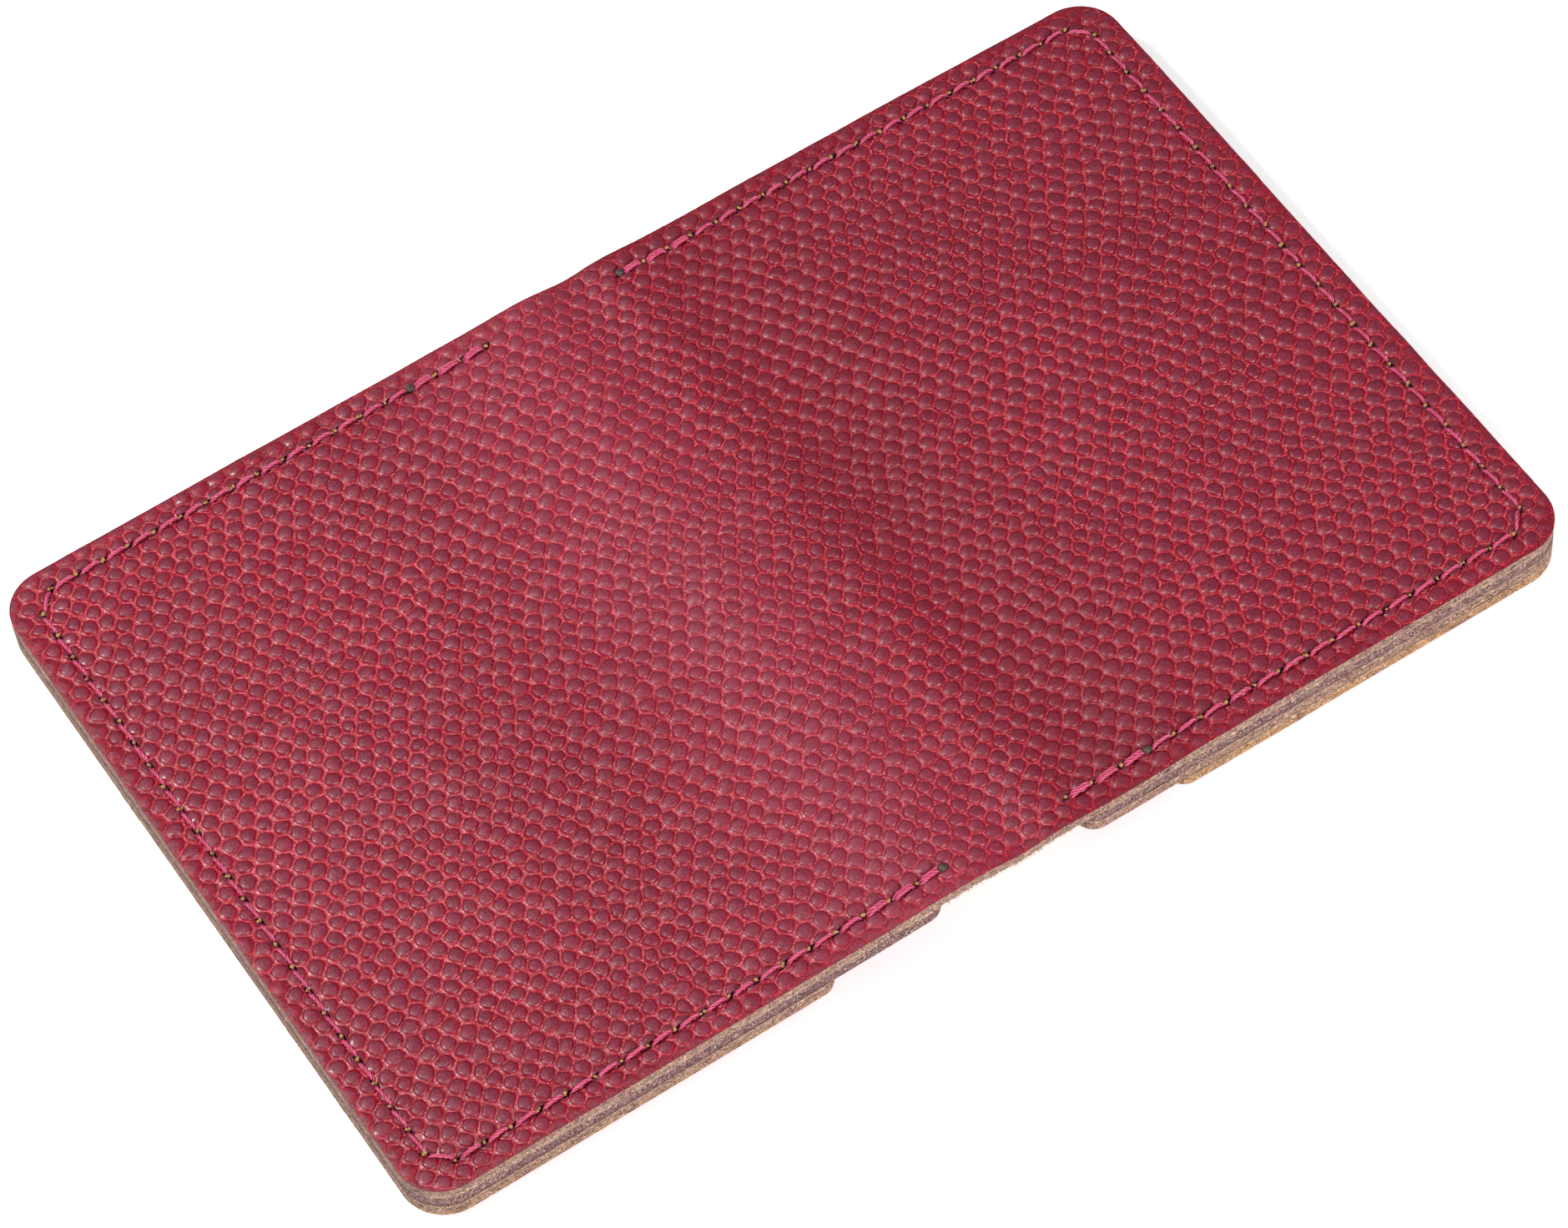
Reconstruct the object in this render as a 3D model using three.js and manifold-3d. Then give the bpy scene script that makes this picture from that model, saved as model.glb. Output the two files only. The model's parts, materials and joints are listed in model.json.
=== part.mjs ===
// Business card case: a hand-sewn bifold of pebbled leather, lying open with its outside up.
//
// Millimetres. +X runs across the open case, +Y along the fold and +Z up. z = 0 is the surface
// that the case lies on, and the origin is under the middle of the open case.
//
// The right half holds one layer of leather more than the left. So the right half lies flat,
// and the left half slopes down from the fold until its outer edge meets the surface.
// The real cover is one piece. Here it is two panels and a spine strip, which meet at fold lines.

import * as THREE from 'three';
import { mergeVertices } from 'three/addons/utils/BufferGeometryUtils.js';
import Module from 'manifold-3d';

const wasm = await Module();
wasm.setup();

// The open cover
const OPEN_WIDTH = 166.3;
const HEIGHT = 104.7;
const CORNER_RADIUS = 6;
const COVER_THICKNESS = 1.6;
const ARC_STEPS = 6;

// The pocket layers under each half
const LEFT_POCKET_THICKNESS = 1.9;
const RIGHT_POCKET_THICKNESS = 1.6;
const LAYER_GAP = 0.3;
const MOUTH_CORNER_RADIUS = 2.5;

// Distance of each pocket's mouth from the middle of the fold
const LEFT_INNER_MOUTH = 9.9;
const LEFT_FRONT_MOUTH = 25.3;
const RIGHT_INNER_MOUTH = 10.3;
const RIGHT_FRONT_MOUTH = 23.6;

// The fold
const CLOSED_GAP = 0.4;
const FOLD_GAP = 0.3;

// Stitching: rows along the long edges, a column along the short edge, and one diagonal
// stitch across each corner
const ROW_INSET = 3.4;
const COLUMN_INSET = 3.9;
const COLUMN_HOLES = 25;
const COLUMN_PITCH = 3.85;
const CORNER_STEP = 2.7;
const AWL_LENGTH = 1.6;
const AWL_WIDTH = 1.1;
const AWL_SLANT = Math.PI / 4;
const THREAD = 0.5;
const THREAD_CLEARANCE = 0.12;
const POST_LENGTH = 0.6;
const POST_WIDTH = 0.4;
const GROOVE_WIDTH = 1;
const GROOVE_DEPTH = 0.8;
const CUT_MARGIN = 1;
const SAME_DIRECTION = 1e-3;

// Each row's number of holes, and how far its last hole is from the middle of the fold
const LEFT_ROWS = { far: { holes: 18, end: 12.8 }, near: { holes: 19, end: 8.3 } };
const RIGHT_ROWS = { far: { holes: 20, end: 7.4 }, near: { holes: 18, end: 9.6 } };

// Worked out from the dimensions above
const HALF_WIDTH = OPEN_WIDTH / 2;
const HALF_HEIGHT = HEIGHT / 2;
const LEFT_STACK = COVER_THICKNESS + 2 * (LAYER_GAP + LEFT_POCKET_THICKNESS);
const RIGHT_STACK = COVER_THICKNESS + 3 * (LAYER_GAP + RIGHT_POCKET_THICKNESS);
const COVER_TOP = RIGHT_STACK;
const COVER_BOTTOM = COVER_TOP - COVER_THICKNESS;
const HINGE_Z = COVER_TOP - COVER_THICKNESS / 2;
const HINGE_X = (LEFT_STACK + RIGHT_STACK - COVER_THICKNESS + CLOSED_GAP) / 2;
const ROW_Y = HALF_HEIGHT - ROW_INSET;
const COLUMN_X = HALF_WIDTH - COLUMN_INSET;

// The left half turns about its fold line until the outer edge of its lowest layer is at z = 0
const LEFT_ARM = HALF_WIDTH - HINGE_X;
const LEFT_DROP = LEFT_STACK - COVER_THICKNESS / 2;
const LEFT_TILT = Math.asin(HINGE_Z / Math.hypot(LEFT_ARM, LEFT_DROP)) - Math.atan2(LEFT_DROP, LEFT_ARM);

const LEFT = {
  side: -1,
  rows: LEFT_ROWS,
  pockets: [
    { name: 'left_inner_pocket', mouth: LEFT_INNER_MOUTH, thickness: LEFT_POCKET_THICKNESS },
    { name: 'left_front_pocket', mouth: LEFT_FRONT_MOUTH, thickness: LEFT_POCKET_THICKNESS },
  ],
};

const RIGHT = {
  side: 1,
  rows: RIGHT_ROWS,
  pockets: [
    { name: 'right_lining', mouth: RIGHT_INNER_MOUTH, thickness: RIGHT_POCKET_THICKNESS },
    { name: 'right_inner_pocket', mouth: RIGHT_INNER_MOUTH, thickness: RIGHT_POCKET_THICKNESS },
    { name: 'right_front_pocket', mouth: RIGHT_FRONT_MOUTH, thickness: RIGHT_POCKET_THICKNESS },
  ],
};

const coverLeather = new THREE.MeshStandardMaterial({ color: 0x93283f, roughness: 0.55, metalness: 0 });
const pocketLeather = new THREE.MeshStandardMaterial({ color: 0x84303a, roughness: 0.6, metalness: 0 });
const waxedThread = new THREE.MeshStandardMaterial({ color: 0xd8356b, roughness: 0.5, metalness: 0 });

function solidFrom(geometry) {
  geometry.deleteAttribute('normal');
  geometry.deleteAttribute('uv');
  const merged = mergeVertices(geometry);
  const vertProperties = new Float32Array(merged.attributes.position.array);
  const triVerts = new Uint32Array(merged.index.array);
  return new wasm.Manifold(new wasm.Mesh({ numProp: 3, vertProperties, triVerts }));
}

function meshFrom(solid, name, material) {
  const { vertProperties, triVerts } = solid.getMesh();
  const geometry = new THREE.BufferGeometry();
  geometry.setAttribute('position', new THREE.BufferAttribute(vertProperties, 3));
  geometry.setIndex(new THREE.BufferAttribute(triVerts, 1));
  geometry.computeVertexNormals();
  const mesh = new THREE.Mesh(geometry, material);
  mesh.name = name;
  return mesh;
}

// Upright prisms on the given plan shapes
function prisms(shapes, bottom, top) {
  const geometry = new THREE.ExtrudeGeometry(shapes, { depth: top - bottom, bevelEnabled: false });
  geometry.translate(0, 0, bottom);
  return solidFrom(geometry);
}

// A bar along the whole fold, from its section in x and z
function barAlongFold(section, length) {
  const shape = new THREE.Shape(section.map(([x, z]) => new THREE.Vector2(x, z)));
  const geometry = new THREE.ExtrudeGeometry(shape, { depth: length, bevelEnabled: false });
  geometry.rotateX(Math.PI / 2);
  geometry.translate(0, length / 2, 0);
  return solidFrom(geometry);
}

// A quarter turn of a rounded corner, or the sharp corner itself where the radius is 0
function cornerPoints(x, y, radius, from) {
  if (radius === 0) return [new THREE.Vector2(x, y)];
  const centreX = x - Math.sign(Math.cos(from + Math.PI / 4)) * radius;
  const centreY = y - Math.sign(Math.sin(from + Math.PI / 4)) * radius;
  const points = [];
  for (let i = 0; i <= ARC_STEPS; i += 1) {
    const angle = from + (i / ARC_STEPS) * (Math.PI / 2);
    points.push(new THREE.Vector2(centreX + radius * Math.cos(angle), centreY + radius * Math.sin(angle)));
  }
  return points;
}

// The plan of a layer that runs from an inner edge out to the case's outer edge
function layerPlan(side, inner, innerRadius) {
  const points = [
    ...cornerPoints(HALF_WIDTH, -HALF_HEIGHT, CORNER_RADIUS, -Math.PI / 2),
    ...cornerPoints(HALF_WIDTH, HALF_HEIGHT, CORNER_RADIUS, 0),
    ...cornerPoints(inner, HALF_HEIGHT, innerRadius, Math.PI / 2),
    ...cornerPoints(inner, -HALF_HEIGHT, innerRadius, Math.PI),
  ];
  return new THREE.Shape(points.map((point) => new THREE.Vector2(side * point.x, point.y)));
}

// Hole centres in sewing order, with the direction of the seam at each
function stitchHoles(half) {
  const { side, rows } = half;
  const firstX = COLUMN_X - CORNER_STEP;
  const holes = [];
  const addRow = ({ holes: count, end }, y, outwards) => {
    for (let i = 0; i < count; i += 1) {
      const share = outwards ? i / (count - 1) : 1 - i / (count - 1);
      holes.push({ x: side * (end + share * (firstX - end)), y, seam: 0 });
    }
  };
  addRow(rows.far, ROW_Y, true);
  for (let i = 0; i < COLUMN_HOLES; i += 1) {
    const y = ((COLUMN_HOLES - 1) / 2 - i) * COLUMN_PITCH;
    holes.push({ x: side * COLUMN_X, y, seam: Math.PI / 2 });
  }
  addRow(rows.near, -ROW_Y, false);
  return holes;
}

// The slanted diamond that an awl leaves
function awlShape({ x, y, seam }) {
  const along = new THREE.Vector2(Math.cos(seam + AWL_SLANT), Math.sin(seam + AWL_SLANT));
  const across = new THREE.Vector2(-along.y, along.x);
  const centre = new THREE.Vector2(x, y);
  return new THREE.Shape([
    centre.clone().addScaledVector(along, AWL_LENGTH / 2),
    centre.clone().addScaledVector(across, AWL_WIDTH / 2),
    centre.clone().addScaledVector(along, -AWL_LENGTH / 2),
    centre.clone().addScaledVector(across, -AWL_WIDTH / 2),
  ]);
}

// A straight strip from one point to another, with square ends half its width beyond them
function stripShape(from, to, width) {
  const start = new THREE.Vector2(from.x, from.y);
  const finish = new THREE.Vector2(to.x, to.y);
  const along = finish.clone().sub(start).normalize().multiplyScalar(width / 2);
  const across = new THREE.Vector2(-along.y, along.x);
  start.sub(along);
  finish.add(along);
  return new THREE.Shape([
    start.clone().sub(across),
    finish.clone().sub(across),
    finish.clone().add(across),
    start.clone().add(across),
  ]);
}

function postShape({ x, y }) {
  const reach = (POST_LENGTH - POST_WIDTH) / 2;
  return stripShape({ x: x - reach, y }, { x: x + reach, y }, POST_WIDTH);
}

// The underside of the lowest layer at a distance from the middle of the fold
function undersideAt(half, distance) {
  let underside = COVER_BOTTOM;
  for (const { mouth, thickness } of half.pockets) {
    if (distance > mouth) underside -= LAYER_GAP + thickness;
  }
  return underside;
}

// The level of the thread's lower side at a hole. It is recessed where the case rests on it.
function threadLevel(half, hole) {
  const distance = Math.abs(hole.x);
  const { mouth } = half.pockets[half.pockets.length - 1];
  const recess = distance > mouth ? GROOVE_DEPTH : 0;
  return undersideAt(half, distance) + recess - THREAD_CLEARANCE - THREAD;
}

// Straight stretches of holes at one level. Neighbouring stretches share a hole.
function stretches(holes, levelOf) {
  const found = [];
  for (let i = 0; i + 1 < holes.length; i += 1) {
    const [from, to] = [holes[i], holes[i + 1]];
    const direction = Math.atan2(to.y - from.y, to.x - from.x);
    const level = Math.min(levelOf(from), levelOf(to));
    const last = found[found.length - 1];
    const goesOn = last && Math.abs(last.direction - direction) < SAME_DIRECTION
      && last.level === level;
    if (goesOn) last.to = to;
    else found.push({ from, to, direction, level });
  }
  return found;
}

// The thread's posts through the leather, down to the lower of the stretches that meet there
function threadPosts(holes, levelOf, top) {
  const byLevel = new Map();
  holes.forEach((hole, i) => {
    const beside = holes.slice(Math.max(i - 1, 0), i + 2);
    const level = Math.min(...beside.map(levelOf));
    byLevel.set(level, [...(byLevel.get(level) ?? []), postShape(hole)]);
  });
  return [...byLevel].map(([level, shapes]) => prisms(shapes, level, top));
}

// One continuous thread: outside rail, a post through each hole and inside rail
function stitching(half, holes, name) {
  const levelOf = (hole) => threadLevel(half, hole);
  const railBottom = COVER_TOP + THREAD_CLEARANCE;
  const railTop = railBottom + THREAD;
  const pieces = threadPosts(holes, levelOf, railTop);
  for (const { from, to } of stretches(holes, () => 0)) {
    pieces.push(prisms([stripShape(from, to, THREAD)], railBottom, railTop));
  }
  for (const { from, to, level } of stretches(holes, levelOf)) {
    pieces.push(prisms([stripShape(from, to, THREAD)], level, level + THREAD));
  }
  const thread = pieces.reduce((joined, piece) => joined.add(piece));
  return meshFrom(thread, name, waxedThread);
}

// The channel that takes the thread on the face that the case rests on
function cutGroove(solid, half, holes) {
  const { mouth } = half.pockets[half.pockets.length - 1];
  const bottom = undersideAt(half, HALF_WIDTH);
  let cut = solid;
  for (const { from, to } of stretches(holes, () => 0)) {
    const ends = [from, to].map(({ x, y }) => {
      const insideMouth = Math.abs(x) < mouth;
      return { x: insideMouth ? half.side * (mouth - CUT_MARGIN) : x, y };
    });
    const strip = stripShape(ends[0], ends[1], GROOVE_WIDTH);
    cut = cut.subtract(prisms([strip], bottom - CUT_MARGIN, bottom + GROOVE_DEPTH));
  }
  return cut;
}

function cutHoles(solid, holes) {
  const shapes = holes.map(awlShape);
  return solid.subtract(prisms(shapes, -CUT_MARGIN, COVER_TOP + CUT_MARGIN));
}

// A cover panel, thinned to a 45 degree edge under the fold line so that it can fold
function coverPanel(half, holes, name) {
  const edge = HINGE_X + FOLD_GAP / 2;
  const reach = COVER_THICKNESS / 2 + CUT_MARGIN;
  const wedge = [
    [half.side * (edge - CUT_MARGIN), HINGE_Z + CUT_MARGIN],
    [half.side * (edge - CUT_MARGIN), HINGE_Z - reach],
    [half.side * (edge + reach), HINGE_Z - reach],
  ];
  const plate = prisms([layerPlan(half.side, edge, 0)], COVER_BOTTOM, COVER_TOP);
  const thinned = plate.subtract(barAlongFold(wedge, HEIGHT + 2 * CUT_MARGIN));
  return meshFrom(cutHoles(thinned, holes), name, coverLeather);
}

function spineStrip() {
  const edge = HINGE_X - FOLD_GAP / 2;
  const foot = edge - COVER_THICKNESS / 2;
  const section = [
    [-edge, COVER_TOP],
    [-edge, HINGE_Z],
    [-foot, COVER_BOTTOM],
    [foot, COVER_BOTTOM],
    [edge, HINGE_Z],
    [edge, COVER_TOP],
  ];
  return meshFrom(barAlongFold(section, HEIGHT), 'cover_spine', coverLeather);
}

function pocketLayers(half, holes) {
  let top = COVER_BOTTOM;
  return half.pockets.map(({ name, mouth, thickness }, i) => {
    top -= LAYER_GAP;
    const plan = layerPlan(half.side, mouth, MOUTH_CORNER_RADIUS);
    const plate = prisms([plan], top - thickness, top);
    top -= thickness;
    const inside = holes.filter((hole) => Math.abs(hole.x) > mouth);
    const drilled = cutHoles(plate, inside);
    const isFront = i === half.pockets.length - 1;
    return meshFrom(isFront ? cutGroove(drilled, half, holes) : drilled, name, pocketLeather);
  });
}

function buildHalf(half, word) {
  const holes = stitchHoles(half);
  const group = new THREE.Group();
  group.add(coverPanel(half, holes, `cover_${word}`));
  group.add(...pocketLayers(half, holes));
  group.add(stitching(half, holes, `stitching_${word}`));
  return group;
}

function buildCase() {
  const leftHalf = buildHalf(LEFT, 'left');
  leftHalf.position.set(HINGE_X, 0, -HINGE_Z);
  const leftFold = new THREE.Group();
  leftFold.position.set(-HINGE_X, 0, HINGE_Z);
  leftFold.rotation.y = -LEFT_TILT;
  leftFold.add(leftHalf);
  const cardCase = new THREE.Group();
  cardCase.add(leftFold, spineStrip(), buildHalf(RIGHT, 'right'));
  cardCase.updateMatrixWorld(true);
  const box = new THREE.Box3().setFromObject(cardCase, true);
  cardCase.position.x = -(box.min.x + box.max.x) / 2;
  return cardCase;
}

export default buildCase();
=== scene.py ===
import json
import math
import random
from collections import Counter

import bpy
import numpy as np
from mathutils import Euler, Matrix, Vector, geometry, noise


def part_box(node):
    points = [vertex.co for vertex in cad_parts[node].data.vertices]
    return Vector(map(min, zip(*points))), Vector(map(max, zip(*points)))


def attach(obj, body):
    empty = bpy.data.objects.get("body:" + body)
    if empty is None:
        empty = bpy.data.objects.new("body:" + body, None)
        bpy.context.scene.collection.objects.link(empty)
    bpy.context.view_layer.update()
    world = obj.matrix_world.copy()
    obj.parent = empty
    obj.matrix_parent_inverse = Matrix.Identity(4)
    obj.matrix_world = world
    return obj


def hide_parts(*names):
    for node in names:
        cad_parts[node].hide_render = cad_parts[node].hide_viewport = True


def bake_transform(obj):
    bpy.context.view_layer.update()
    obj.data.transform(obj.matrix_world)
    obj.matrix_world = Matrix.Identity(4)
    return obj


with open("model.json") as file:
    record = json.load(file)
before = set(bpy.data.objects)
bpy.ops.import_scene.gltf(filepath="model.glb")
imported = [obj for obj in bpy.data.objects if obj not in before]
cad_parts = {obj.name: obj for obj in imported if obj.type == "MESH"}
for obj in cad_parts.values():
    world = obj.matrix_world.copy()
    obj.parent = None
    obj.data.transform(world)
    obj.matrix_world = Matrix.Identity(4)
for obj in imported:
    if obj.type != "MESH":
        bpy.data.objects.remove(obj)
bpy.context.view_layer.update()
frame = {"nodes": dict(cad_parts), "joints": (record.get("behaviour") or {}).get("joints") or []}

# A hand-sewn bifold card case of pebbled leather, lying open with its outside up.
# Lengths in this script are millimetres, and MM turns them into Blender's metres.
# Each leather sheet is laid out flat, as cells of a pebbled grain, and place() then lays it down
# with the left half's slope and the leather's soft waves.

MM = 0.001


def new_object(name, data):
    """An object with this data, in the scene."""
    made = bpy.data.objects.new(name, data)
    bpy.context.scene.collection.objects.link(made)
    return made


# ---- the frame's own measures

def hinge_point(name):
    """A fold's axis, as x and z."""
    joint = next(j for j in frame["joints"] if j["name"] == name)
    return joint["pos_m"][0] / MM, joint["pos_m"][2] / MM


def millimetre_box(node):
    low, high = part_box(node)
    return tuple(low / MM), tuple(high / MM)


def left_slope():
    """How far the left half slopes down from its fold, from the cover panel's largest upward face."""
    mesh = frame["nodes"]["cover_left"].data
    upward = [face for face in mesh.polygons if face.normal.z > 0.9]
    largest = max(upward, key=lambda face: face.area)
    return math.atan2(largest.normal.x, largest.normal.z)


LEFT_HINGE_X, HINGE_Z = hinge_point("left_fold")
SLOPE = left_slope()


def turned(x, z, angle):
    """x and z, turned about the left fold. A positive angle takes +x towards -z."""
    dx = x - LEFT_HINGE_X
    dz = z - HINGE_Z
    return (LEFT_HINGE_X + dx * np.cos(angle) + dz * np.sin(angle),
            HINGE_Z - dx * np.sin(angle) + dz * np.cos(angle))


def level_box(node):
    """A left-half node's box, with the half's slope taken off."""
    points = np.array([vertex.co for vertex in frame["nodes"][node].data.vertices]) / MM
    x, z = turned(points[:, 0], points[:, 2], -SLOPE)
    return (x.min(), points[:, 1].min(), z.min()), (x.max(), points[:, 1].max(), z.max())


LEFT_END = level_box("cover_left")[0][0]
RIGHT_END = millimetre_box("cover_right")[1][0]
HALF_HEIGHT = millimetre_box("cover_right")[1][1]
COVER_BOTTOM = millimetre_box("cover_spine")[0][2]
COVER_TOP = millimetre_box("cover_spine")[1][2]


# ---- how the leather lies

SLOPE_BLEND = 4.0  # the slope starts this far either side of the left fold
WAVES = (  # x, y, spread across, spread along the fold, height
    (-7.0, 0.0, 8.0, 90.0, 0.34),
    (6.5, 0.0, 4.5, 90.0, 0.22),
    (16.5, 0.0, 7.5, 80.0, -0.50),
    (48.0, 10.0, 18.0, 30.0, 0.22),
    (-45.0, -8.0, 20.0, 34.0, 0.16),
)
FOLD_DIP = 0.55  # the single layer sags between the pockets at both edges
FOLD_DIP_WIDTH = 3.6
RIPPLE = 0.12
RIPPLE_LENGTH = 26.0


def smoothstep(start, end, value):
    t = np.clip((value - start) / (end - start), 0.0, 1.0)
    return t * t * (3.0 - 2.0 * t)


def wave_height(x, y):
    height = np.zeros_like(x)
    for centre_x, centre_y, across, along, rise in WAVES:
        height += rise * np.exp(-((x - centre_x) / across) ** 2 - ((y - centre_y) / along) ** 2)
    edge = smoothstep(0.45 * HALF_HEIGHT, HALF_HEIGHT, np.abs(y))
    height -= FOLD_DIP * edge * np.exp(-((x - 1.0) / FOLD_DIP_WIDTH) ** 2)
    height += RIPPLE * np.sin(x / RIPPLE_LENGTH * 3.1 + 0.7) * np.sin(y / RIPPLE_LENGTH * 2.3 + 1.9)
    return height


def place(points):
    """Level stack coordinates to where the leather lies."""
    x, y, z = points[:, 0], points[:, 1], points[:, 2]
    lifted = z + wave_height(x, y) * np.clip(z / COVER_TOP, 0.0, 1.15)
    share = smoothstep(LEFT_HINGE_X + SLOPE_BLEND, LEFT_HINGE_X - SLOPE_BLEND, x)
    new_x, new_z = turned(x, lifted, SLOPE * share)
    return np.stack([new_x, y, new_z], 1)


# ---- stitch holes

ROW_INSET = 3.4
COLUMN_INSET = 3.9
CORNER_STEP = 2.7  # from the column of stitches to the first hole of a row
ROW_Y = HALF_HEIGHT - ROW_INSET
COLUMN_X = RIGHT_END - COLUMN_INSET
ROW_START = COLUMN_X - CORNER_STEP
COLUMN_HOLES = 25
COLUMN_PITCH = 3.85
ROWS = {  # holes in a row, and the x of the hole nearest the fold
    "left": {"far": (18, 12.8), "near": (19, 8.3)},
    "right": {"far": (20, 7.4), "near": (18, 9.6)},
}
SIDE_SIGN = {"left": -1, "right": 1}
PRESS_REACH = 5.0  # points further inside than this are too far from any stitch to be pressed
FAR = 99.0


def row_of_holes(side, row):
    count, end = ROWS[side][row]
    y = ROW_Y if row == "far" else -ROW_Y
    return [(ROW_START + (end - ROW_START) * k / (count - 1), y) for k in range(count)]


def stitch_holes(side):
    """The hole centres round three sides of a half, from the far end of the fold to the near end."""
    middle = (COLUMN_HOLES - 1) / 2
    column = [(COLUMN_X, (middle - k) * COLUMN_PITCH) for k in range(COLUMN_HOLES)]
    run = row_of_holes(side, "far")[::-1] + column + row_of_holes(side, "near")
    return [(SIDE_SIGN[side] * x, y) for x, y in run]


HOLES = {side: stitch_holes(side) for side in SIDE_SIGN}


def distance_to_stitches(x, y):
    """How far each point near the stitches is from their line. FAR stands for the others."""
    near = (np.abs(y) > ROW_Y - PRESS_REACH) | (np.abs(x) > COLUMN_X - PRESS_REACH)
    px, py = x[near], y[near]
    best = np.full_like(px, FAR)
    for holes in HOLES.values():
        for (ax, ay), (bx, by) in zip(holes, holes[1:]):
            ux, uy = bx - ax, by - ay
            t = np.clip(((px - ax) * ux + (py - ay) * uy) / (ux * ux + uy * uy), 0, 1)
            best = np.minimum(best, np.hypot(px - ax - t * ux, py - ay - t * uy))
    nearest = np.full_like(x, FAR)
    nearest[near] = best
    return nearest


# ---- outlines and grain cells

COVER_CORNER = 6.0
MOUTH_CORNER = 2.5
ARC_STEPS = 12
PEBBLE_STEP = 2.50  # along a row of pebbles
ROW_STEP = 1.90
JITTER = 0.26
ROW_WANDER = 2.6
ROW_WANDER_LENGTH = 30.0
# Where y reads the noise. noise_vector would change with the clock from run to run.
SECOND_NOISE = Vector((0, 0, 17.3))
INNER_EDGE = 0.75  # longest edge inside the grain
OUTLINE_EDGE = 0.36  # longest edge on the cut outline
ROUNDNESS = 3.3
EVENING = 0.45  # how far seeds move to the middle of their cells
EVENING_MARGIN = 6.0  # seeds this far past a sheet move too
CELL_MARGIN = 3.0  # only cells this near a sheet can reach it
CLIP_MARGIN = 9.0  # cells further inside a sheet than this are whole


def outline(x0, x1, left_corner, right_corner):
    """An anticlockwise rounded rectangle, symmetrical about the fold's middle."""
    corners = (
        (x1 - right_corner, -HALF_HEIGHT + right_corner, right_corner, -90),
        (x1 - right_corner, HALF_HEIGHT - right_corner, right_corner, 0),
        (x0 + left_corner, HALF_HEIGHT - left_corner, left_corner, 90),
        (x0 + left_corner, -HALF_HEIGHT + left_corner, left_corner, 180),
    )
    points = []
    for cx, cy, radius, start in corners:
        for k in range(ARC_STEPS + 1):
            angle = math.radians(start + 90 * k / ARC_STEPS)
            points.append((cx + radius * math.cos(angle), cy + radius * math.sin(angle)))
    return points


def grain_seeds(x0, x1, rng):
    """Pebble centres: staggered rows that wander and jitter, past the sheet on every side."""
    seeds = []
    margin = 4 * PEBBLE_STEP
    rows = int((2 * HALF_HEIGHT + 2 * margin) / ROW_STEP)
    count = int((x1 - x0 + 2 * margin) / PEBBLE_STEP)
    shift = Vector((rng.uniform(0, 50), rng.uniform(0, 50), 0))
    for row in range(rows):
        for k in range(count):
            x = x0 - margin + (k + 0.5 * (row % 2)) * PEBBLE_STEP
            y = -HALF_HEIGHT - margin + row * ROW_STEP
            spot = Vector((x, y, 0)) / ROW_WANDER_LENGTH + shift
            x += ROW_WANDER * noise.noise(spot) + rng.gauss(0, JITTER)
            y += ROW_WANDER * noise.noise(spot + SECOND_NOISE) + rng.gauss(0, JITTER)
            seeds.append((x, y))
    return seeds


def circumcentre(a, b, c):
    d = 2 * (a[0] * (b[1] - c[1]) + b[0] * (c[1] - a[1]) + c[0] * (a[1] - b[1]))
    aa, bb, cc = (p[0] * p[0] + p[1] * p[1] for p in (a, b, c))
    x = (aa * (b[1] - c[1]) + bb * (c[1] - a[1]) + cc * (a[1] - b[1])) / d
    y = (aa * (c[0] - b[0]) + bb * (a[0] - c[0]) + cc * (b[0] - a[0])) / d
    return x, y


def grain_cells(seeds):
    """Each seed's Voronoi cell, anticlockwise. Neighbours share their corners exactly."""
    vertices = [Vector(seed) for seed in seeds]
    points, _, triangles, *_ = geometry.delaunay_2d_cdt(vertices, [], [], 0, 1e-7, False)
    around = [[] for _ in points]
    for triangle in triangles:
        corner = circumcentre(*(points[i] for i in triangle))
        for i in triangle:
            around[i].append(corner)
    cells = []
    for point, corners in zip(points, around):
        corners.sort(key=lambda corner: math.atan2(corner[1] - point.y, corner[0] - point.x))
        cells.append(corners)
    return points, cells


def sides(ring):
    """Each corner of a ring with the next one."""
    return zip(ring, ring[1:] + ring[:1])


def centroid(polygon):
    area = cx = cy = 0.0
    for (x0, y0), (x1, y1) in sides(polygon):
        cross = x0 * y1 - x1 * y0
        area += cross
        cx += (x0 + x1) * cross
        cy += (y0 + y1) * cross
    return cx / (3 * area), cy / (3 * area)


def evened(seeds, x0, x1):
    """The seeds moved to their cells' middles, which rounds the pebbles."""
    points, cells = grain_cells(seeds)
    moved = []
    for point, cell in zip(points, cells):
        inside_x = x0 - EVENING_MARGIN < point.x < x1 + EVENING_MARGIN
        inside = inside_x and abs(point.y) < HALF_HEIGHT + EVENING_MARGIN
        if inside and len(cell) > 2:
            cx, cy = centroid(cell)
            moved.append((point.x + EVENING * (cx - point.x), point.y + EVENING * (cy - point.y)))
        else:
            moved.append((point.x, point.y))
    return moved


def beyond(point, a, b):
    """Positive on the left of the line from a to b."""
    return (b[0] - a[0]) * (point[1] - a[1]) - (b[1] - a[1]) * (point[0] - a[0])


def crossing(p, q, a, b):
    """Where p-q crosses the line a-b. The ends are sorted, so both neighbours get the same point."""
    p, q = min(p, q), max(p, q)
    dp, dq = beyond(p, a, b), beyond(q, a, b)
    t = dp / (dp - dq)
    return p[0] + (q[0] - p[0]) * t, p[1] + (q[1] - p[1]) * t


def clipped(polygon, border):
    """The part of a cell inside a convex, anticlockwise border."""
    for a, b in sides(border):
        kept = []
        for p, q in sides(polygon):
            p_in, q_in = beyond(p, a, b) >= 0, beyond(q, a, b) >= 0
            if p_in:
                kept.append(p)
            if p_in != q_in:
                kept.append(crossing(p, q, a, b))
        polygon = kept
        if not polygon:
            break
    return polygon


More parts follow.
